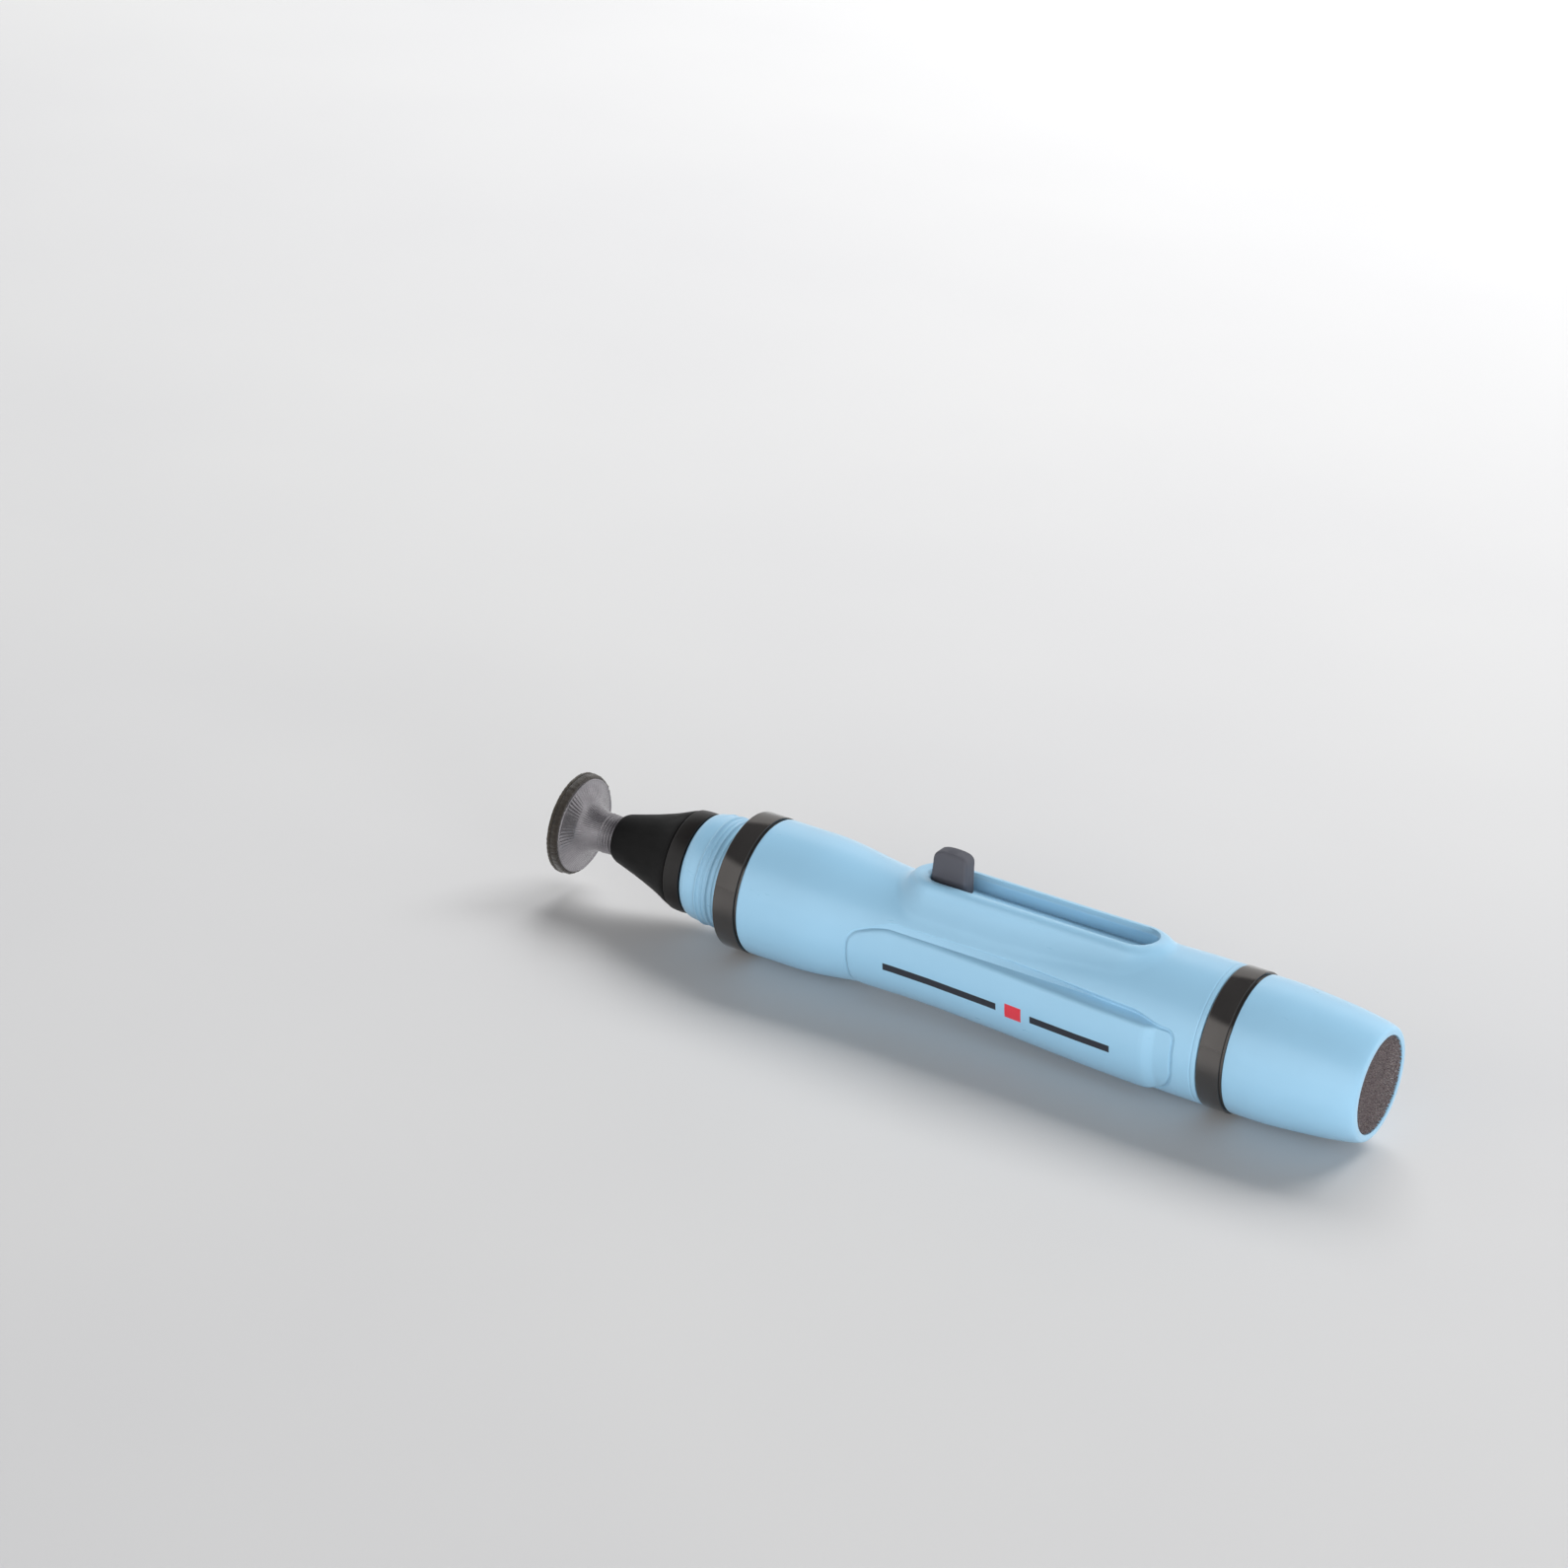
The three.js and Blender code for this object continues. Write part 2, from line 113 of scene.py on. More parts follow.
def grid_faces(rows, columns, wrap_columns=True, wrap_rows=False):
    """Four-sided faces between the points of a grid, which are in rows."""
    faces = []
    last_row = rows if wrap_rows else rows - 1
    last_column = columns if wrap_columns else columns - 1
    for i in range(last_row):
        a, b = i * columns, (i + 1) % rows * columns
        for j in range(last_column):
            k = (j + 1) % columns
            faces.append((a + j, a + k, b + k, b + j))
    return faces


def face_outward(piece):
    """Turns every face's normal to the outside."""
    bm = bmesh.new()
    bm.from_mesh(piece.data)
    bmesh.ops.recalc_face_normals(bm, faces=bm.faces)
    bm.to_mesh(piece.data)
    bm.free()
    return piece


def rounded(profile, radius):
    """Rounds the corners of an (x, radius) profile. A third number on a point is its corner's own radius."""
    least_cut, share_of_side, arc_steps = 0.005, 0.45, 4
    out = [tuple(profile[0][:2])]
    for before, here, after in zip(profile, profile[1:], profile[2:]):
        p, a, b = (np.array(q[:2], float) for q in (here, before, after))
        want = here[2] if len(here) > 2 else radius
        la, lb = np.linalg.norm(a - p), np.linalg.norm(b - p)
        cut = min(want, share_of_side * la, share_of_side * lb)
        if cut < least_cut:
            out.append(tuple(p))
            continue
        s, e = p + (a - p) * cut / la, p + (b - p) * cut / lb
        for t in np.linspace(0, 1, arc_steps + 1):
            out.append(tuple((1 - t) ** 2 * s + 2 * t * (1 - t) * p + t ** 2 * e))
    out.append(tuple(profile[-1][:2]))
    return out


def turned(name, profile, material, segments=144, closed=True, corner=0.12):
    """A turned piece from its (x, radius) profile. A closed profile makes a tube."""
    ring = rounded(profile, corner)
    points, faces = [], []
    angles = np.linspace(0, 2 * math.pi, segments, endpoint=False)
    for x, r in ring:
        for t in angles:
            points.append((x, r * math.sin(t), r * math.cos(t)))
    faces += grid_faces(len(ring), segments, wrap_rows=closed)
    if not closed:
        for i, (x, _) in ((0, ring[0]), (len(ring) - 1, ring[-1])):
            points.append((x, 0, 0))
            centre = len(points) - 1
            for j in range(segments):
                faces.append((i * segments + j, i * segments + (j + 1) % segments, centre))
    return face_outward(new_piece(name, points, faces, material))


def smin(a, b, k):
    """The smaller of two distances, blended over the width k where they are close."""
    h = np.maximum(k - np.abs(a - b), 0) / k
    return np.minimum(a, b) - h * h * k / 4


def smax(a, b, k):
    return -smin(-a, -b, k)


def ease(x, start, end):
    """Zero before the start, one after the end, and smooth between them."""
    t = np.clip((x - start) / (end - start), 0, 1)
    return (1 - np.cos(np.pi * t)) / 2


# ---------------------------------------------------------------- the barrel's surface
def body_radius(x):
    """The round body, with a fine groove by the nose ring and both its ends eased."""
    swell = (1 - ease(x, -20, -7)) + ease(x, 3, 33)
    groove_depth, groove_from_end, groove_width = 0.07, 0.7, 0.09
    eased_length = 0.25
    groove = groove_depth * np.exp(-((x - BARREL[1] + groove_from_end) / groove_width) ** 2)
    lip = 0.1 * np.clip((x - BARREL[1] + eased_length) / eased_length, 0, 1) ** 2
    start = 0.12 * np.clip((BARREL[0] + eased_length - x) / eased_length, 0, 1) ** 2
    return WAIST + (SHOULDER - WAIST) * swell - groove - lip - start


def stadium(x, y, start, end, half):
    """Signed distance to a stadium outline."""
    a, b = start + half, end - half
    dx = x - np.clip(x, a, b)
    return np.hypot(dx, y) - half


def panel_edge(x, h):
    """Signed distance, nearly, to the panel's outline. h runs towards its lower edge."""
    s, e, half = PANEL["start"], PANEL["end"], PANEL["half"]
    side = np.abs(h)
    drawn_in = np.clip((s + PANEL_TIP["length"] - x) / PANEL_TIP["length"], 0, 1) ** PANEL_TIP["power"]
    tip = smax(side - half + PANEL_TIP["drop"] * drawn_in, s - x, PANEL_TIP["corner"])
    r = np.where(h > 0, PANEL_CORNER["lower"], PANEL_CORNER["upper"])
    qx, qh = x - (e - r), side - (half - r)
    nose = np.hypot(np.maximum(qx, 0), np.maximum(qh, 0)) + np.minimum(np.maximum(qx, qh), 0) - r
    return np.maximum(tip, nose)


def panel_groove(x, h, edge, rise):
    """Below zero in the groove round the panel, and how softly its rim is rounded.

    It is a scribed line, which grows deep and wide along the panel's upper edge and a little
    deeper at its brush end.
    """
    along = ease(x, -8.5, -5) * (0.62 + 0.38 * ease(x, -4, 16)) * (1 - ease(x, 26, 31.2))
    upper = ease(-h, 2.2, 4.2) * along
    end = 0.5 * ease(x, 28, 31.5) * (1 - upper)
    radius = 0.15 + 0.46 * upper + 0.1 * end
    depth = 0.07 + 0.8 * upper + 0.3 * end
    return np.hypot(edge - radius, np.minimum(rise - radius + depth, 0)) - radius, 0.1 + 0.2 * upper


def barrel_field(x, y, z):
    """Below zero inside the barrel with its two panels.

    The panel's own outline is flat. The groove's is measured round the body, so that it never
    cuts under the surface.
    """
    least_facing = 0.3
    rho = np.hypot(y, z)
    body = body_radius(x)
    field = rho - body
    height = np.interp(x, *zip(*PANEL_HEIGHT))
    angle = math.radians(PANEL["angle"])
    for side in (-1, 1):
        h = y * side * math.cos(angle) - z * math.sin(angle)
        out = y * side * math.sin(angle) + z * math.cos(angle)
        edge = np.where(out > 0, panel_edge(x, h), OFF_PANEL)
        h_on_body = h * body / rho
        along_body = panel_edge(x, h_on_body) / np.maximum(out / rho, least_facing)
        groove, softness = panel_groove(x, h_on_body, np.where(out > 0, along_body, OFF_PANEL), rho - body)
        field = smax(field, -groove, softness)
        field = smin(field, smax(rho - height, edge, PANEL["rim"]), PANEL["foot"])
    return field


def with_track(x, y, z):
    """Below zero inside the barrel with its track, whose fillet fades out at its foot."""
    edge = stadium(x, y, TRACK["start"], TRACK["end"], TRACK["half"])
    flank = (edge + (z - TRACK["top"]) * TRACK_FLANK["lean"] + TRACK_FLANK["set_in"]) / TRACK_FLANK["slant"]
    track = smax(z - TRACK["top"], flank, TRACK["rim"])
    barrel = barrel_field(x, y, z)
    return barrel + (smin(barrel, track, TRACK["fillet"]) - barrel) * (1 - ease(edge, *TRACK_FADE))


def solve(field, x, start, end, passes=22):
    """Where each line from start to end leaves the solid."""
    low, high = np.zeros(x.shape), np.ones(x.shape)
    for _ in range(passes):
        middle = (low + high) / 2
        p = start + (end - start) * middle[..., None]
        inside = field(x, p[..., 0], p[..., 1]) < 0
        low, high = np.where(inside, middle, low), np.where(inside, high, middle)
    return start + (end - start) * ((low + high) / 2)[..., None]


def outward(field, points, reach=0.03):
    """The surface's own normals, so that two meshes that meet on it shade as one."""
    x, y, z = points.T
    slope = np.stack([field(x + reach, y, z) - field(x - reach, y, z),
                      field(x, y + reach, z) - field(x, y - reach, z),
                      field(x, y, z + reach) - field(x, y, z - reach)], -1)
    return slope / np.linalg.norm(slope, axis=1)[:, None].clip(1e-9)


def steps(*pairs):
    """Numbers from one place to the next, with the spacing given after each place."""
    out = []
    for (a, gap), (b, _) in zip(pairs, pairs[1:]):
        n = max(1, round((b - a) / gap))
        out += list(np.linspace(a, b, n, endpoint=False))
    return np.array(out + [pairs[-1][0]])


def body_shell():
    """The round body with its panels. Under the track it dips, out of sight, below the channel."""
    dip_floor, dip_outline = 5.9, (-5.9, 25.8, 3.0)
    least_radius, most_radius = 5.5, 10
    xs = steps((BARREL[0], 0.05), (-25.6, 0.5), (-13, 0.1), (-10, 0.2), (-4, 0.4), (20, 0.25),
               (27, 0.1), (33, 0.3), (34.3, 0.035), (BARREL[1], 0))
    degrees = steps((0, 1.5), (54, 0.5), (57, 0.25), (80, 1.5), (140, 0.35), (160, 1.5), (180, 0))
    degrees = np.concatenate([degrees, 360 - degrees[-2:0:-1]])
    t = np.radians(degrees)
    x = np.repeat(xs[:, None], len(t), 1)
    way = np.stack([np.sin(t), np.cos(t)], -1)[None].repeat(len(xs), 0)

    def dipped(x, y, z):
        dip = np.maximum(dip_floor - z, stadium(x, y, *dip_outline))
        return np.maximum(barrel_field(x, y, z), -dip)

    p = solve(dipped, x, way * least_radius, way * most_radius)
    points = np.concatenate([x[..., None], p], -1)
    ends = []
    for i in (0, -1):
        inner = points[i].copy()
        inner[:, 1:] *= BORE / np.hypot(inner[:, 1], inner[:, 2])[:, None].clip(BORE)
        ends.append(inner)
    ring = np.concatenate([ends[0][None], points, ends[1][None]])
    flat = np.zeros((len(t), 3))
    inside = outward(barrel_field, points[1:-1].reshape(-1, 3))
    normals = np.concatenate([flat, flat, inside, flat, flat])
    return ring.reshape(-1, 3), grid_faces(len(ring), len(t), wrap_rows=True), normals


def outline(start, end, half, straight=70, arc=40):
    """Points round a stadium, the same count for any size, so that loops can be joined."""
    a, b = start + half, end - half
    points = []
    for i in range(arc):
        t = -math.pi / 2 + math.pi * i / arc
        points.append((b + half * math.cos(t), half * math.sin(t)))
    for i in range(straight):
        points.append((b + (a - b) * i / straight, half))
    for i in range(arc):
        t = math.pi / 2 + math.pi * i / arc
        points.append((a + half * math.cos(t), half * math.sin(t)))
    for i in range(straight):
        points.append((a + (b - a) * i / straight, -half))
    return np.array(points)


def track_shell():
    """The raised track: loops from under its foot, over its top, and down into channel and slot."""
    below, above, lift = 3.2, 9.6, 0.006
    wall_top, wall_height, draft = 8.3, 1.55, 0.2
    corner_width, corner_height, slot_corner = 0.15, 0.2, 0.1
    loops = []

    def grown(base, d):
        return outline(base["start"] - d, base["end"] + d, base["half"] + d)

    def level(xy, z):
        loops.append(np.column_stack([xy, np.full(len(xy), z)]))

    def on_surface(xy, drop=0.0):
        low = np.column_stack([xy[:, 1], np.full(len(xy), below)])
        high = np.column_stack([xy[:, 1], np.full(len(xy), above)])
        yz = solve(with_track, xy[:, 0], low, high)
        loops.append(np.column_stack([xy[:, 0], yz[:, 0], yz[:, 1] - drop]))

    on_surface(grown(TRACK, 1.6), 0.8)
    on_surface(grown(TRACK, 2.35), 0.3)
    for d in steps((2.3, -0.15), (0.9, -0.1), (0.5, -0.05), (-0.7, -0.1), (-1.0, 0)):
        on_surface(grown(TRACK, d), -lift * ease(d, 0.9, 1.6))
    normals = outward(with_track, np.concatenate(loops))
    for d, drop in CHANNEL_LIP:
        level(grown(CHANNEL, d), TRACK["top"] - drop)
    for z in np.linspace(8.2, 6.9, 6):
        level(grown(CHANNEL, -draft * (wall_top - z) / wall_height), z)
    for t in np.linspace(0, math.pi / 2, 5):
        level(grown(CHANNEL, -draft - corner_width * (1 - math.cos(t))),
              CHANNEL["floor"] + corner_height * (1 - math.sin(t)))
    wide, narrow = grown(CHANNEL, -0.35), grown(SLOT, slot_corner)
    for share in (0.35, 0.7):
        level(wide + (narrow - wide) * share, CHANNEL["floor"])
    for t in np.linspace(0, math.pi / 2, 4):
        level(grown(SLOT, slot_corner * (1 - math.sin(t))),
              CHANNEL["floor"] - slot_corner * (1 - math.cos(t)))
    level(grown(SLOT, 0), 5.75)
    level(grown(SLOT, 0.5), 5.7)
    points = np.concatenate(loops)
    normals = np.concatenate([normals, np.zeros((len(points) - len(normals), 3))])
    return points, grid_faces(len(loops), len(loops[0]), wrap_rows=True), normals


# ---------------------------------------------------------------- materials
def srgb(r, g, b):
    def one(c):
        c /= 255
        return c / 12.92 if c <= 0.04045 else ((c + 0.055) / 1.055) ** 2.4
    return (one(r), one(g), one(b), 1)


def shade(color, factor):
    """A color made lighter or darker."""
    return tuple(min(1, c * factor) for c in color[:3]) + (1,)


class Nodes:
    """A short way to write a node tree."""

    def __init__(self, name):
        self.material = bpy.data.materials.new(name)
        self.material.use_nodes = True
        self.tree = self.material.node_tree
        self.shader = self.tree.nodes["Principled BSDF"]
        self.place = self.add("ShaderNodeTexCoord").outputs["Object"]

    def add(self, kind, **settings):
        node = self.tree.nodes.new(kind)
        for key, value in settings.items():
            setattr(node, key, value)
        return node

    def link(self, a, b):
        self.tree.links.new(a, b)

    def put(self, socket, value):
        if isinstance(value, bpy.types.NodeSocket):
            self.link(value, socket)
        else:
            socket.default_value = value

    def math(self, operation, a, b=0.0):
        node = self.add("ShaderNodeMath", operation=operation)
        for socket, value in zip(node.inputs, (a, b)):
            self.put(socket, value)
        return node.outputs[0]

    def stretched(self, scale):
        node = self.add("ShaderNodeMapping")
        node.inputs["Scale"].default_value = scale
        self.link(self.place, node.inputs["Vector"])
        return node.outputs[0]

    def noise(self, scale, detail=2.0, roughness=0.5, place=None):
        node = self.add("ShaderNodeTexNoise")
        self.link(place or self.place, node.inputs["Vector"])
        node.inputs["Scale"].default_value = scale
        node.inputs["Detail"].default_value = detail
        node.inputs["Roughness"].default_value = roughness
        return node.outputs["Fac"]

    def ramp(self, value, stops):
        node = self.add("ShaderNodeValToRGB")
        self.link(value, node.inputs["Fac"])
        elements = node.color_ramp.elements
        while len(elements) < len(stops):
            elements.new(0.5)
        for element, (position, color) in zip(elements, stops):
            element.position = position
            element.color = color
        return node.outputs["Color"]

    def mix(self, share, a, b):
        node = self.add("ShaderNodeMix", data_type="RGBA")
        self.put(node.inputs["Factor"], share)
        self.put(node.inputs["A"], a)
        self.put(node.inputs["B"], b)
        return node.outputs["Result"]

    def span(self, value, low, high, from_low=0.0, from_high=1.0):
        node = self.add("ShaderNodeMapRange")
        for key, number in (("Value", value), ("From Min", from_low), ("From Max", from_high),
                            ("To Min", low), ("To Max", high)):
            self.put(node.inputs[key], number)
        return node.outputs[0]

    def bump(self, height, distance, strength=1.0, below=None):
        node = self.add("ShaderNodeBump")
        node.inputs["Distance"].default_value = distance
        node.inputs["Strength"].default_value = strength
        self.link(height, node.inputs["Height"])
        if below:
            self.link(below, node.inputs["Normal"])
        return node.outputs["Normal"]

    def finish(self, color, roughness, normal=None, **sockets):
        self.put(self.shader.inputs["Base Color"], color)
        self.put(self.shader.inputs["Roughness"], roughness)
        if normal:
            self.link(normal, self.shader.inputs["Normal"])
        for key, value in sockets.items():
            self.shader.inputs[key.replace("_", " ")].default_value = value
        return self.material


def moulded(name, color, roughness, grain=9000, depth=0.000004, wear=0.06, **sockets):
    """Moulded plastic: a faint cloudy tint, a fine grain, and small handling marks."""
    n = Nodes(name)
    cloud = n.noise(90, 3, 0.6)
    tint = n.ramp(cloud, [(0.3, shade(color, 1 - wear)), (0.7, shade(color, 1 + wear))])
    scuff = n.noise(700, 4, 0.7, n.stretched((0.25, 1, 1)))
    rough = n.span(scuff, roughness - 0.05, roughness + 0.07, 0.3, 0.7)
    normal = n.bump(n.noise(grain, 2, 0.6), depth, 0.5)
    normal = n.bump(n.noise(260, 2, 0.4), depth * 4, 0.25, normal)
    return n.finish(tint, rough, normal, **sockets)


BLUE = srgb(146, 190, 217)


def barrel_plastic():
    """The blue moulding, with two plain dark rules and a red block printed on each panel."""
    n = Nodes("blue_moulding_printed")
    cloud = n.noise(70, 3, 0.6)
    tint = n.ramp(cloud, [(0.3, shade(BLUE, 0.96)), (0.7, BLUE)])
    split = n.add("ShaderNodeSeparateXYZ")
    n.link(n.place, split.inputs[0])
    x, y, z = split.outputs
    angle = math.radians(PANEL["angle"])
    side = n.math("ABSOLUTE", y)
    across = n.math("ADD", n.math("MULTIPLY", side, math.cos(angle)),
                    n.math("MULTIPLY", n.math("SUBTRACT", z, AXIS_Z * MM), -math.sin(angle)))
    centre = -PRINT_ABOVE_MIDDLE * MM

    def block(start, end, width):
        """Above one inside a block of the print, below zero outside it."""
        along = n.math("SUBTRACT", (end - start) / 2 * MM,
                       n.math("ABSOLUTE", n.math("SUBTRACT", x, (start + end) / 2 * MM)))
        over = n.math("SUBTRACT", width / 2 * MM, n.math("ABSOLUTE", n.math("SUBTRACT", across, centre)))
        edge = n.math("MULTIPLY", n.math("MINIMUM", along, over), 1 / (PRINT_EDGE * MM))
        return n.math("ADD", edge, 0.5)

    def clamped(value):
        return n.math("MINIMUM", n.math("MAXIMUM", value, 0.0), 1.0)

    dark = clamped(n.math("MAXIMUM", *(block(*rule, RULE_WIDTH) for rule in RULES)))
    red = clamped(block(*BLOCK, BLOCK_WIDTH))
    tint = n.mix(dark, tint, srgb(36, 38, 46))
    tint = n.mix(red, tint, srgb(205, 52, 66))
    scuff = n.noise(600, 4, 0.7, n.stretched((0.25, 1, 1)))
    rough = n.span(scuff, 0.27, 0.38, 0.3, 0.7)
    normal = n.bump(n.noise(9000, 2, 0.6), 0.000003, 0.4)
    normal = n.bump(n.noise(230, 2, 0.4), 0.000012, 0.2, normal)
    return n.finish(tint, rough, normal, Specular_IOR_Level=0.5, Coat_Weight=0.4, Coat_Roughness=0.16)


def nickel(name, color):
    """Plated metal, polished on a lathe."""
    n = Nodes(name)
    turn = n.noise(3000, 3, 0.6, n.stretched((1, 0.12, 0.12)))
    cloud = n.noise(130, 2, 0.5)
    tint = n.ramp(cloud, [(0.35, color), (0.65, shade(color, 1.25))])
    rough = n.span(turn, 0.07, 0.15, 0.3, 0.7)
    return n.finish(tint, rough, n.bump(turn, 0.000002, 0.3), Metallic=0.85, Specular_IOR_Level=0.5)


def rubber_material():
    """Smooth rubber with fine radial lines and a little dust."""
    lines_round = 72
    n = Nodes("stem_rubber")
    split = n.add("ShaderNodeSeparateXYZ")
    n.link(n.place, split.inputs[0])
    _, y, z = split.outputs
    around = n.math("ARCTAN2", y, n.math("SUBTRACT", z, AXIS_Z * MM))
    rays = n.math("SINE", n.math("MULTIPLY", around, lines_round))
    cloud = n.noise(500, 4, 0.65)
    dust = n.noise(5200, 2, 0.6)
    tint = n.ramp(cloud, [(0.3, srgb(136, 133, 137)), (0.7, srgb(164, 161, 165))])
    speck = n.span(dust, 0.0, 0.3, 0.64, 0.76)
    tint = n.mix(speck, tint, srgb(60, 56, 54))
    rough = n.span(cloud, 0.14, 0.26, 0.3, 0.7)
    normal = n.bump(rays, 0.00003, 0.35)
    normal = n.bump(dust, 0.000004, 0.25, normal)
    return n.finish(tint, rough, normal, Metallic=0.75, Specular_IOR_Level=0.6)


def nap(name, dark, light, scale=3800):
    """Felt or suede: short fibres, with darker patches."""
    n = Nodes(name)
    fibre = n.noise(scale, 5, 0.75)
    patch = n.noise(420, 3, 0.6)
    tint = n.ramp(fibre, [(0.32, dark), (0.68, light)])
    tint = n.mix(n.span(patch, 0.0, 0.4, 0.35, 0.7), tint, dark)
    normal = n.bump(fibre, 0.00009, 0.8)
    return n.finish(tint, 0.95, normal, Sheen_Weight=0.35, Sheen_Roughness=0.5)


def hair_material():
    """Soft hair, streaked along its length."""
    n = Nodes("soft_hair")
    strand = n.noise(1, 3, 0.7, n.stretched((260, 5200, 5200)))
    tint = n.ramp(strand, [(0.32, srgb(52, 45, 47)), (0.52, srgb(96, 86, 88)), (0.72, srgb(140, 128, 126))])
    normal = n.bump(strand, 0.00003, 0.5)
    return n.finish(tint, 0.6, normal, Sheen_Weight=0.2)


def brushed(name, color, roughness=0.3):
    """Bare metal with fine turning lines."""
    n = Nodes(name)
    line = n.noise(2600, 3, 0.7, n.stretched((1, 0.08, 0.08)))
    tint = n.ramp(line, [(0.3, shade(color, 0.85)), (0.7, color)])
    rough = n.span(line, roughness - 0.06, roughness + 0.08, 0.3, 0.7)
    return n.finish(tint, rough, n.bump(line, 0.000004, 0.4), Metallic=1.0)


blue_printed = barrel_plastic()
blue_plain = moulded("blue_moulding", BLUE, 0.32, wear=0.03, Coat_Weight=0.4, Coat_Roughness=0.16)
black_nickel = nickel("black_nickel", srgb(98, 95, 93))
cone_black = moulded("fine_black_moulding", srgb(10, 10, 10), 0.55, grain=4200, depth=0.000012,
                     Specular_IOR_Level=0.22)
seal_black = moulded("smooth_dark_seal", srgb(25, 23, 22), 0.42, grain=6000, depth=0.000006)
rubber = rubber_material()
felt = nap("dark_felt", srgb(26, 23, 21), srgb(60, 53, 46))
suede = nap("charged_suede", srgb(30, 27, 24), srgb(74, 66, 56), 5200)
button_grey = moulded("button_moulding", srgb(80, 81, 88), 0.6, grain=5200, depth=0.00001,
                      Specular_IOR_Level=0.3)
hair = hair_material()
inner_white = moulded("inner_moulding", srgb(214, 212, 206), 0.5)
steel = brushed("rolled_spring_strip", srgb(190, 192, 196))
ferrule_metal = brushed("turned_ferrule", srgb(205, 206, 208), 0.25)


# ---------------------------------------------------------------- the pieces
def barrel_piece():
    """The barrel in one object: the round body's shell and the track's, with shared normals."""
    body, body_faces, body_normals = body_shell()
    track, track_faces, track_normals = track_shell()
    shift = len(body)
    faces = body_faces + [tuple(i + shift for i in f) for f in track_faces]
    piece = face_outward(new_piece("barrel_moulding", np.concatenate([body, track]), faces, blue_printed))
    piece.data.set_sharp_from_angle(angle=math.radians(50))
    piece.data.normals_split_custom_set_from_vertices(np.concatenate([body_normals, track_normals]).tolist())
    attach(piece, "barrel")
    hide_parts("barrel")


def neck_piece():
    """The neck, with a helical ridge that fades out at both ends."""
    xs = steps((NECK_PROFILE[0][0], 0.04), (-34.9, 0.06), (-29.6, 0.15), (-29.0, 0.5), (-20.1, 0))
    base = np.interp(xs, *zip(*NECK_PROFILE))
    segments = 192
    t = np.linspace(0, 2 * math.pi, segments, endpoint=False)
    pitch = (THREAD["end"] - THREAD["start"]) / THREAD["turns"]
    x = xs[:, None]
    turn = t[None] / (2 * math.pi)
    ridge = np.zeros((len(xs), segments))
    for lap in range(-2, 4):
        place = turn + lap
        centre = THREAD["start"] + pitch * place
        begun, left = place / THREAD["fade"], (THREAD["turns"] - place) / THREAD["fade"]
        fade = np.clip(begun, 0, 1) * np.clip(left, 0, 1)
        crest = np.exp(-((x - centre) / 0.16) ** 2)
        bead = 0.6 * np.exp(-((x - centre - pitch / 2) / 0.13) ** 2)
        ridge = np.maximum(ridge, THREAD["height"] * np.maximum(crest, bead) * ease(fade, 0, 1))
    r = base[:, None] + ridge
    points = np.stack([np.repeat(x, segments, 1), r * np.sin(t), r * np.cos(t)], -1)
    inner = points[[-1, 0]].copy()
    scale = NECK_BORE / np.hypot(inner[..., 1], inner[..., 2])
    inner[..., 1:] *= scale[..., None]
    ring = np.concatenate([points, inner])
    faces = grid_faces(len(ring), segments, wrap_rows=True)
    piece = face_outward(new_piece("threaded_neck", ring.reshape(-1, 3), faces, blue_plain))
    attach(piece, "barrel")
    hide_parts("neck_sleeve")


def ring_piece(name, node, start):
    """A joining ring, with a narrow step on its brush side."""
    end, outer = start + RING["length"], RING["radius"]
    step = end - RING["step_length"]
    piece = turned(name, [
        (start + 0.02, 7.4), (start, BORE), (start, outer, 0.14), (step, outer, 0.08),
        (step, RING["step"], 0.02), (end, 8.1, 0.02), (end, BORE), (start + 0.02, BORE),
    ], black_nickel, segments=192, corner=0.02)
    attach(piece, "barrel")
    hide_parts(node)


def nose_piece():
    """The hollow blue end round the brush."""
    base = NOSE_RING_START + RING["length"] + 0.1
    piece = turned("nose_end", [
        (29.9, 5.88), (29.9, 6.85), (base, 6.85, 0.02), (base, 8.3, 0.12), (42.5, 8.32, 2), (46.4, 8.02, 2),
        (49.2, 7.76, 1.5), (51.2, 7.5, 1), (52.8, 7.24, 0.8), (53.7, 7.02, 0.4), (54.25, 6.8, 0.35),
        (54.4, 6.5, 0.2), (54.4, 5.96, 0.06), (54.3, 5.88, 0.05), (50, 5.88),
    ], blue_plain, segments=192, corner=0.1)
    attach(piece, "barrel")
    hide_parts("nose_cone")


def cone_piece():
    """The black cone behind the stem, and the seal band between it and the neck."""
    piece = turned("tip_housing", [
        (-47.1, 2.3), (-47.38, 2.45, 0.1), (-47.4, 2.78, 0.3), (-46.9, 3.08, 0.6), (-43.2, 4.12, 2.5),
        (-40.2, 5.14, 2), (-38.3, 5.98, 0.6), (-37.75, 6.14, 0.12), (-37.7, 6.0), (-37.7, 4.5), (-30.35, 4.5),
        (-30.35, 2.3),
    ], cone_black, segments=160, corner=0.05)
    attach(piece, "barrel")
    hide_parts("tip_cone")
    seal = turned("seal_band", [
        (-37.6, 4.7), (-37.6, 6.28, 0.14), (-36.6, 6.36, 0.5), (-35.45, 6.3, 0.14), (-35.45, 4.7),
    ], seal_black, segments=160, corner=0.02)
    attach(seal, "barrel")
    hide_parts("cap_seal_ring")


def ribs(start, end, depth, radius, taper):
    """Profile points of a ribbed stretch of the stem, towards the pad. Its radius grows by the taper."""
    return [(x, radius - taper * (x - start) + depth * math.cos(2 * math.pi * (x - start) / RIB_PITCH), 0.0)
            for x in np.arange(start, end, -0.04)]


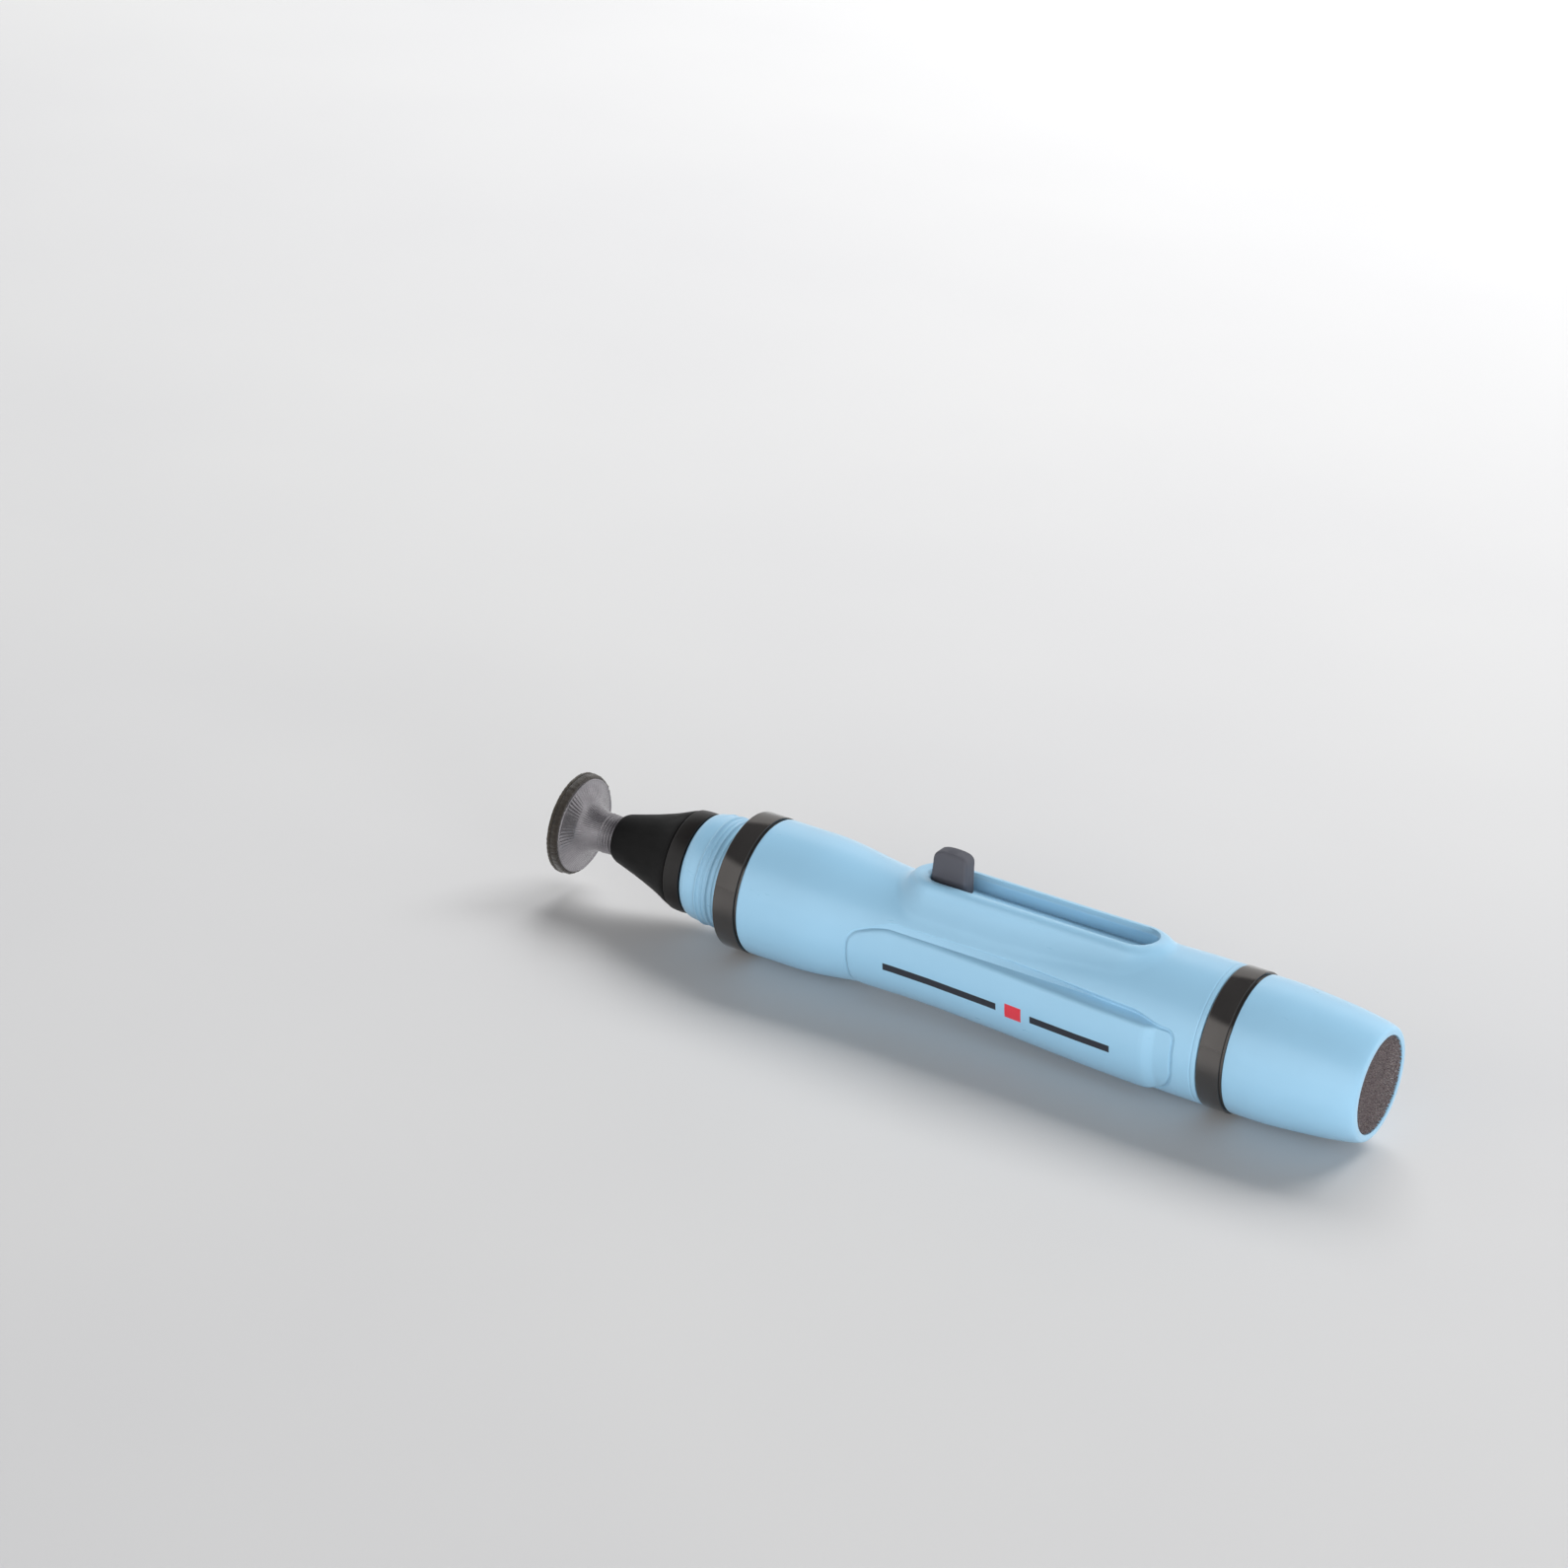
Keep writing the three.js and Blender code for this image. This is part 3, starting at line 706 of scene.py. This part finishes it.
def stem_piece():
    """The rubber stem up to the middle of its bend, ribbed where it leaves the cone."""
    profile = [(-41.5, 2.1), (-47.3, 2.12), (-47.5, 2.3)]
    profile += ribs(-47.62, -48.9, 0.11, 2.32, 0.05)
    profile.append((-48.95, 2.36))
    piece = turned("stem_sleeve", profile, rubber, segments=96, closed=False, corner=0.02)
    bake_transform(piece)
    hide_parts("stem_root", "stem_core")


def cup_piece():
    """The rest of the rubber stem, which flares into the cup that holds the pad."""
    flare = [(-49.6, 2.46), (-50.1, 2.54), (-50.6, 2.66), (-51.1, 2.88), (-51.55, 3.18), (-51.95, 3.6),
             (-52.28, 4.15), (-52.54, 4.75), (-52.72, 5.25), (-52.82, 5.6)]
    profile = [(-48.9, 2.36)]
    profile += ribs(-48.92, -49.5, 0.09, 2.4, 0.08)
    profile += [(x, r, 0.3) for x, r in flare]
    profile += [(-52.78, 5.7, 0.06), (-52.78, 5.86, 0.06), (-52.86, 5.93, 0.06), (-53.05, 5.93, 0.06),
                (-53.12, 5.8, 0.05), (-53.2, 5.0)]
    piece = turned("rubber_cup", profile, rubber, segments=176, closed=False, corner=0.02)
    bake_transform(piece)
    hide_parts("tip_cup")


def fuzzy_edge(points, seed, radial, axial):
    """Frays the rim of a disc by small smooth steps round it."""
    count, rim_start, rim_width = 24, 5.75, 0.4
    rng = np.random.default_rng(seed)
    phases = rng.uniform(0, 2 * math.pi, count)
    waves = rng.integers(9, 160, count)
    out = np.array(points, float)
    angle = np.arctan2(out[:, 1], out[:, 2])
    fray = sum(np.sin(w * angle + p) for w, p in zip(waves, phases)) / count ** 0.5
    r = np.hypot(out[:, 1], out[:, 2])
    share = np.clip((r - rim_start) / rim_width, 0, 1)
    out[:, 1:] *= (1 + radial * fray * share / np.maximum(r, 1e-6))[:, None]
    out[:, 0] += axial * np.roll(fray, 7) * share
    return out


def disc_piece(name, profile, material, seed, radial, axial):
    """A turned disc with a frayed rim, which rides on the tip's head."""
    piece = turned(name, profile, material, segments=256, closed=False, corner=0.02)
    co = np.array([v.co for v in piece.data.vertices]) / MM - [0, 0, AXIS_Z]
    co = fuzzy_edge(co, seed, radial, axial) + [0, 0, AXIS_Z]
    piece.data.vertices.foreach_set("co", (co * MM).ravel().astype(np.float32))
    piece.data.update()
    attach(piece, "tip_head")
    return piece


def pad_pieces():
    """The felt backing and the suede pad on it."""
    backing = disc_piece("felt_backing", [
        (-53.22, 4.0), (-53.0, 5.75, 0.05), (-52.98, 6.05, 0.08), (-53.1, 6.26, 0.1), (-53.4, 6.34, 0.1),
        (-53.8, 6.34, 0.08), (-53.86, 6.1, 0.05), (-53.86, 4.0),
    ], felt, 3, 0.05, 0.03)
    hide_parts("pad_backing")
    pad = disc_piece("suede_pad", [
        (-53.88, 4.0), (-53.88, 6.2, 0.03), (-53.93, 6.38, 0.08), (-54.1, 6.42, 0.1), (-54.26, 6.38, 0.1),
        (-54.33, 6.2, 0.1), (-54.37, 5.6, 0.4), (-54.38, 4.0), (-54.385, 2.0),
    ], suede, 8, 0.03, 0.012)
    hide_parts("cleaning_pad")


CORNER_POINTS = 12


def rounded_box_loop(half_x, half_y, corner):
    points = []
    for cx, cy, start in ((1, -1, -90), (1, 1, 0), (-1, 1, 90), (-1, -1, 180)):
        for i in range(CORNER_POINTS):
            t = math.radians(start + 90 * i / (CORNER_POINTS - 1))
            points.append((cx * (half_x - corner) + corner * math.cos(t),
                           cy * (half_y - corner) + corner * math.sin(t)))
    return points


def lofted(sections):
    """Joins rounded boxes, each (z, half x, half y, corner, shift x), and closes both ends."""
    points, faces = [], []
    for z, hx, hy, corner, shift in sections:
        points += [(x + shift, y, z) for x, y in rounded_box_loop(hx, hy, corner)]
    columns = 4 * CORNER_POINTS
    faces += grid_faces(len(sections), columns)
    faces.append(tuple(range(columns)))
    faces.append(tuple(range((len(sections) - 1) * columns, len(sections) * columns)))
    return points, faces


def button_piece():
    """The thumb tab, crowned on top, with its foot in the channel and its stalk in the slot."""
    x0, base, shoulder, top = -1.85, 7.3, 10.4, 12.0
    half_y, corner, crown = 1.15, 0.42, 3.4
    sections = []
    for z in (base, 7.6, 8.5, 9.5, shoulder):
        lean = 0.2 * (z - base) / 3.6
        sections.append((z, 2.45 - lean, half_y, corner, x0 - lean * 0.3))
    for t in np.sin(np.linspace(0.12, 0.5 * math.pi, 11)) * 0.998:
        z = shoulder + (top - shoulder) * t
        arch = 2.28 * (1 - t ** crown) ** (1 / crown)
        edge = half_y - 0.3 * t ** 5
        sections.append((z, max(arch, 0.9 * edge), edge, min(corner, 0.9 * edge), x0 - 0.05))
    tab, tab_faces = lofted(sections)
    foot, foot_faces = lofted([(6.85, 2.4, 1.76, 1.5, x0), (6.95, 2.5, 1.85, 1.6, x0),
                               (base, 2.5, 1.85, 1.6, x0), (7.4, 2.4, 1.75, 1.5, x0)])
    stalk, stalk_faces = lofted([(4.9, 1.8, 0.9, 0.2, x0), (6.9, 1.8, 0.9, 0.2, x0)])
    points, faces = [], []
    for part, part_faces in ((tab, tab_faces), (foot, foot_faces), (stalk, stalk_faces)):
        faces += [tuple(i + len(points) for i in f) for f in part_faces]
        points += part
    piece = face_outward(new_piece("thumb_tab", points, faces, button_grey))
    piece.data.set_sharp_from_angle(angle=math.radians(48))
    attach(piece, "brush")
    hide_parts("slider_button")


def tuft_piece():
    """Hairs that stand on the ferrule, round a plain core that keeps light from passing between them."""
    rng = random.Random(41)
    root_x, tip_x = 31.2, 54.36
    root_radius, tip_radius = 4.42, 5.82
    hairs, sides, golden_turn, eighth_turn = 2600, 4, 2.399963, 0.785
    joints = ((0.0, 1), (0.35, 1), (0.75, 1), (0.995, 0.95), (1.0, 0.55))
    points, faces = [], []
    core = [(26.2, 4.35), (32, 4.3), (38, 4.85), (49, 5.5), (54.12, 5.8)]
    segments = 48
    for x, r in core:
        for i in range(segments):
            t = 2 * math.pi * i / segments
            points.append((x, r * math.sin(t), r * math.cos(t)))
    faces += grid_faces(len(core), segments)
    faces.append(tuple(range(segments)))
    faces.append(tuple(range((len(core) - 1) * segments, len(core) * segments)))
    for i in range(hairs):
        share = math.sqrt((i + 0.5) / hairs)
        t = i * golden_turn + rng.uniform(-0.08, 0.08)
        reach = tip_radius * share + rng.uniform(-0.05, 0.0)
        start = root_radius * share
        long = tip_x - min(abs(rng.gauss(0, 0.06)), 0.2)
        bend = rng.uniform(-0.03, 0.03)
        thick = rng.uniform(0.055, 0.09)
        first = len(points)
        for s, taper in joints:
            x = root_x + (long - root_x) * s
            r = start + (reach - start) * (1 - (1 - s) ** 1.8)
            angle = t + bend * s
            width = thick * taper
            cy, cz = r * math.sin(angle), r * math.cos(angle)
            for c in range(sides):
                a = angle + c * math.pi / 2 + eighth_turn
                points.append((x, cy + width * math.sin(a), cz + width * math.cos(a)))
        for k in range(len(joints) - 1):
            for c in range(sides):
                d = (c + 1) % sides
                a, b = first + k * sides, first + (k + 1) * sides
                faces.append((a + c, a + d, b + d, b + c))
        last = first + (len(joints) - 1) * sides
        faces.append(tuple(range(first, first + sides)))
        faces.append(tuple(range(last, last + sides)))
    piece = face_outward(new_piece("hair_tuft", points, faces, hair))
    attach(piece, "brush")
    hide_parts("bristle_tuft")


barrel_piece()
neck_piece()
ring_piece("tip_end_ring", "tip_ring", TIP_RING_START)
ring_piece("nose_end_ring", "nose_ring", NOSE_RING_START)
nose_piece()
cone_piece()
stem_piece()
cup_piece()
pad_pieces()
button_piece()
tuft_piece()

for node, material in (
    ("brush_guide_bush", inner_white),
    ("end_stop_plug", inner_white),
    ("slider_carriage", inner_white),
    ("detent_spring", steel),
    ("brush_tube", cone_black),
    ("brush_ferrule", ferrule_metal),
    ("bristle_root_plug", inner_white),
):
    carried = frame["nodes"][node]
    carried.data.materials.clear()
    carried.data.materials.append(material)


# ---------------------------------------------------------------- floor, light and camera
def floor():
    """A large plain floor."""
    n = Nodes("pale_floor")
    patch = n.noise(6, 3, 0.6)
    tint = n.ramp(patch, [(0.3, srgb(198, 198, 199)), (0.7, srgb(203, 203, 203))])
    grain = n.noise(900, 3, 0.6)
    material = n.finish(tint, 0.7, n.bump(grain, 0.00003, 0.3))
    mesh = bpy.data.meshes.new("floor")
    side, cells = 12.0, 8
    line = np.linspace(-side, side, cells + 1)
    points = [(x, y, 0.0) for y in line for x in line]
    mesh.from_pydata(points, [], grid_faces(cells + 1, cells + 1, wrap_columns=False))
    mesh.materials.append(material)
    plane = bpy.data.objects.new("floor", mesh)
    bpy.context.scene.collection.objects.link(plane)


def soft_light(name, place, size, power):
    """A rectangular soft box, aimed at the pen. Only the studio walls show in reflections."""
    target = (0, 0, 0.01)
    data = bpy.data.lights.new(name, "AREA")
    data.shape = "RECTANGLE"
    data.size, data.size_y = size
    data.energy = power
    light = bpy.data.objects.new(name, data)
    light.location = place
    aim = Vector(target) - Vector(place)
    light.rotation_mode = "QUATERNION"
    light.rotation_quaternion = aim.to_track_quat("-Z", "Y")
    light.visible_glossy = False
    bpy.context.scene.collection.objects.link(light)


def world(strength, walls, ceiling):
    """Pale studio walls under a dark ceiling. Each is a height, 0 level to 1 straight up, and a color."""
    made = bpy.data.worlds.new("studio")
    made.use_nodes = True
    tree = made.node_tree
    place = tree.nodes.new("ShaderNodeTexCoord")
    split = tree.nodes.new("ShaderNodeSeparateXYZ")
    ramp = tree.nodes.new("ShaderNodeValToRGB")
    back = tree.nodes["Background"]
    tree.links.new(place.outputs["Generated"], split.inputs[0])
    tree.links.new(split.outputs["Z"], ramp.inputs["Fac"])
    tree.links.new(ramp.outputs["Color"], back.inputs["Color"])
    low, high = ramp.color_ramp.elements
    low.position, low.color = walls
    high.position, high.color = ceiling
    back.inputs["Strength"].default_value = strength
    bpy.context.scene.world = made


def camera():
    """The view: 555 mm from the pen's middle and 26 degrees above it, with the brush end nearer."""
    middle_x = 8.4
    yaw, roll, spin = math.radians(26.336), math.radians(17.49), math.radians(27)
    along = Vector((math.cos(yaw) * math.cos(roll), -math.cos(yaw) * math.sin(roll), math.sin(yaw)))
    p = Vector((math.sin(roll), math.cos(roll), 0))
    q = Vector((-math.sin(yaw) * math.cos(roll), math.sin(yaw) * math.sin(roll), math.cos(yaw)))
    up = math.cos(spin) * p + math.sin(spin) * q
    across = math.sin(spin) * p - math.cos(spin) * q
    middle = Vector((27.913, -21.573, -553.909))
    shift = (middle - middle_x * along - AXIS_Z * up) * MM
    to_camera = Matrix(((along[0], across[0], up[0], shift[0]),
                        (along[1], across[1], up[1], shift[1]),
                        (along[2], across[2], up[2], shift[2]),
                        (0, 0, 0, 1)))
    data = bpy.data.cameras.new("view")
    data.sensor_width = 36
    data.lens = 108.645
    data.clip_start, data.clip_end = 0.01, 60
    made = bpy.data.objects.new("view", data)
    bpy.context.scene.collection.objects.link(made)
    made.matrix_world = to_camera.inverted()
    bpy.context.scene.camera = made


floor()
world(0.7, (0.6, (1, 1, 1, 1)), (0.7, (0.12, 0.12, 0.13, 1)))
soft_light("back_high_box", (0, 0.65, 0.65), (1.0, 0.4), 10.5)
soft_light("back_low_box", (0, 0.9, 0.18), (1.2, 0.3), 1.6)
soft_light("front_high_box", (-0.2, -0.85, 0.35), (1.0, 0.3), 1.6)
soft_light("front_low_box", (-0.2, -0.9, 0.06), (1.2, 0.12), 2.4)
soft_light("nose_box", (0.85, -0.4, 0.1), (0.5, 0.2), 5.4)
camera()
bpy.context.scene.view_settings.view_transform = "Standard"

bpy.context.view_layer.update()
